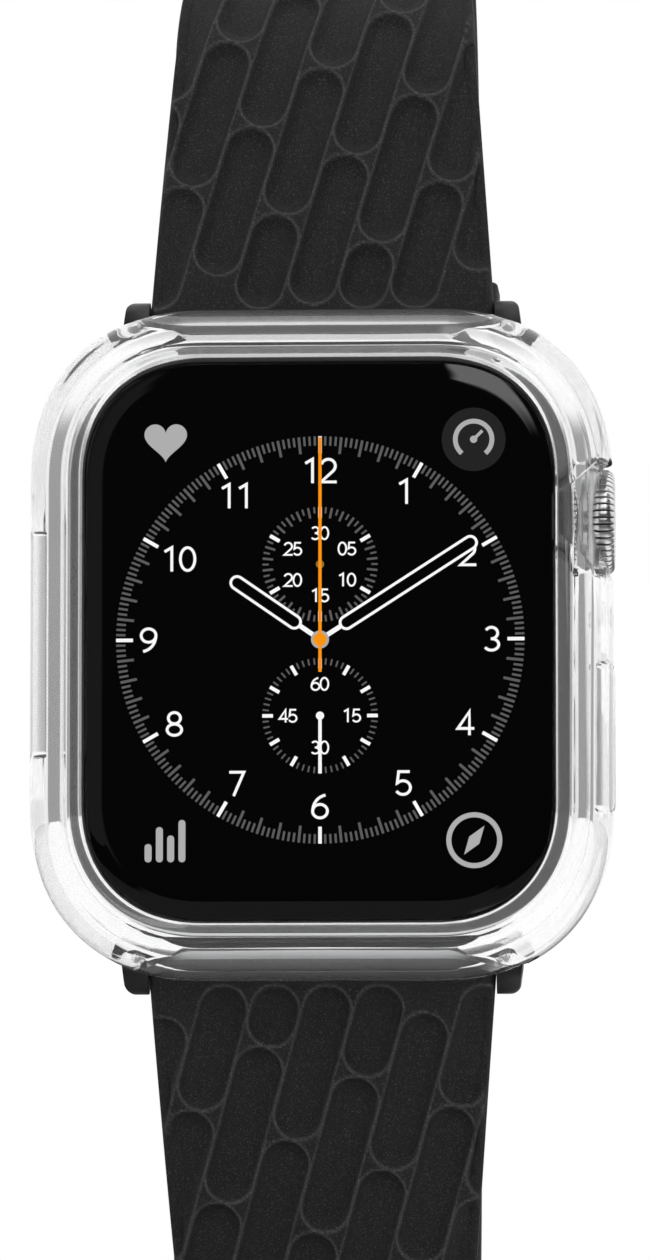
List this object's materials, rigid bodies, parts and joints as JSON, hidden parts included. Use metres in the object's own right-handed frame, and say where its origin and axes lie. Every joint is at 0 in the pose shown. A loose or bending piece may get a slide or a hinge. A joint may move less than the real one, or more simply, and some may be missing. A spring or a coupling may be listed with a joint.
{
  "type": "smartwatch in a clear case",
  "caption": "Rectangular smartwatch with a turning crown and side button, held in a clear pull-off case, on a dimpled rubber strap with a pin buckle.",
  "frame": {"origin": "middle of the back crystal, on the face that touches the wrist", "axes": "+Y out of the back towards the wrist, +Z towards twelve o'clock along the strap, +X towards the crown"},
  "size_m": [0.0416, 0.0532, 0.1126],
  "materials": {
    "clear_plastic": "clear glossy elastomer",
    "case_aluminium": "fine bead-blasted silver",
    "bright_steel": "brushed",
    "black_metal": "satin black",
    "cover_glass": "polished glass over a black border",
    "strap_rubber": "matte black, fine grain",
    "seal_rubber": "matte",
    "display": "gloss",
    "back_ceramic": "polished",
    "circuit_board": "solder mask",
    "chip_plastic": "moulded",
    "battery_foil": "foil pouch",
    "copper": "bright"
  },
  "bodies": {
    "watch": {"watch_housing": "case_aluminium", "front_glass": "cover_glass", "glass_gasket": "seal_rubber", "display_panel": "display", "display_plate": "bright_steel", "back_cover": "back_ceramic", "back_gasket": "seal_rubber", "back_crystal": "back_ceramic", "sensor_board": "circuit_board", "charging_coil": "copper", "battery": "battery_foil", "logic_board": "circuit_board", "processor_package": "chip_plastic", "haptic_motor": "bright_steel", "speaker_module": "chip_plastic", "speaker_mesh": "black_metal", "microphone": "bright_steel", "crown_bush": "copper", "crown_switch": "chip_plastic", "side_button_switch": "chip_plastic", "adapter_upper": "black_metal", "strap_pin_upper": "bright_steel", "adapter_lower": "black_metal", "strap_pin_lower": "bright_steel"},
    "bumper": {"bumper_shell": "clear_plastic"},
    "bumper_pad": {"bumper_button_pad": "clear_plastic"},
    "crown_press": {"crown_plunger": "bright_steel"},
    "crown": {"crown_knob": "bright_steel", "crown_cap": "bright_steel", "crown_shaft": "bright_steel", "crown_encoder": "chip_plastic"},
    "side_button": {"side_button": "case_aluminium"},
    "release_upper": {"release_button_upper": "case_aluminium", "adapter_latch_upper": "bright_steel"},
    "release_lower": {"release_button_lower": "case_aluminium", "adapter_latch_lower": "bright_steel"},
    "strap_upper": {"strap_upper": "strap_rubber", "buckle_pin": "bright_steel", "keeper_fixed": "strap_rubber"},
    "strap_lower": {"strap_lower": "strap_rubber"},
    "buckle_frame": {"buckle_frame": "bright_steel"},
    "buckle_tongue": {"buckle_tongue": "bright_steel"},
    "keeper_sliding": {"keeper_sliding": "strap_rubber"}
  },
  "joints": [
    {"name": "bumper_pull_off", "type": "slide", "parent": "watch", "child": "bumper", "axis": [0, -1, 0], "range_m": [0, 0.014]},
    {"name": "bumper_pad_press", "type": "slide", "parent": "bumper", "child": "bumper_pad", "axis": [-1, 0, 0], "range_m": [0, 0.0003], "stiffness_N_per_m": 600, "springref_m": -0.0003},
    {"name": "side_button_press", "type": "slide", "parent": "watch", "child": "side_button", "axis": [-1, 0, 0], "range_m": [0, 0.0003], "stiffness_N_per_m": 600, "springref_m": -0.0003},
    {"name": "crown_press_in", "type": "slide", "parent": "watch", "child": "crown_press", "axis": [-1, 0, 0], "range_m": [0, 0.00025], "stiffness_N_per_m": 800, "springref_m": -0.0003},
    {"name": "crown_turn", "type": "hinge", "parent": "crown_press", "child": "crown", "pos_m": [0.0192, -0.0052, 0.0088], "axis": [1, 0, 0], "continuous": true},
    {"name": "release_upper_press", "type": "slide", "parent": "watch", "child": "release_upper", "axis": [0, -1, 0], "range_m": [0, 0.0004], "stiffness_N_per_m": 600, "springref_m": -0.0003},
    {"name": "release_lower_press", "type": "slide", "parent": "watch", "child": "release_lower", "axis": [0, -1, 0], "range_m": [0, 0.0004], "stiffness_N_per_m": 600, "springref_m": -0.0003},
    {"name": "strap_upper_swing", "type": "hinge", "parent": "watch", "child": "strap_upper", "pos_m": [0, -0.0046, 0.0232], "axis": [-1, 0, 0], "range_deg": [-15, 10]},
    {"name": "strap_lower_swing", "type": "hinge", "parent": "watch", "child": "strap_lower", "pos_m": [0, -0.0046, -0.0232], "axis": [1, 0, 0], "range_deg": [-15, 10]},
    {"name": "buckle_frame_swing", "type": "hinge", "parent": "strap_upper", "child": "buckle_frame", "pos_m": [0, 0.03595, 0.01997], "axis": [-1, 0, 0], "range_deg": [0, 25]},
    {"name": "buckle_tongue_swing", "type": "hinge", "parent": "strap_upper", "child": "buckle_tongue", "pos_m": [0, 0.03595, 0.01997], "axis": [1, 0, 0], "range_deg": [0, 50]},
    {"name": "keeper_slide", "type": "slide", "parent": "strap_upper", "child": "keeper_sliding", "axis": [0, 0, 1], "range_m": [0, 0.0035]}
  ],
  "couplings": [
    {"joint": "side_button_press", "follows": "bumper_pad_press", "ratio": 1}
  ]
}
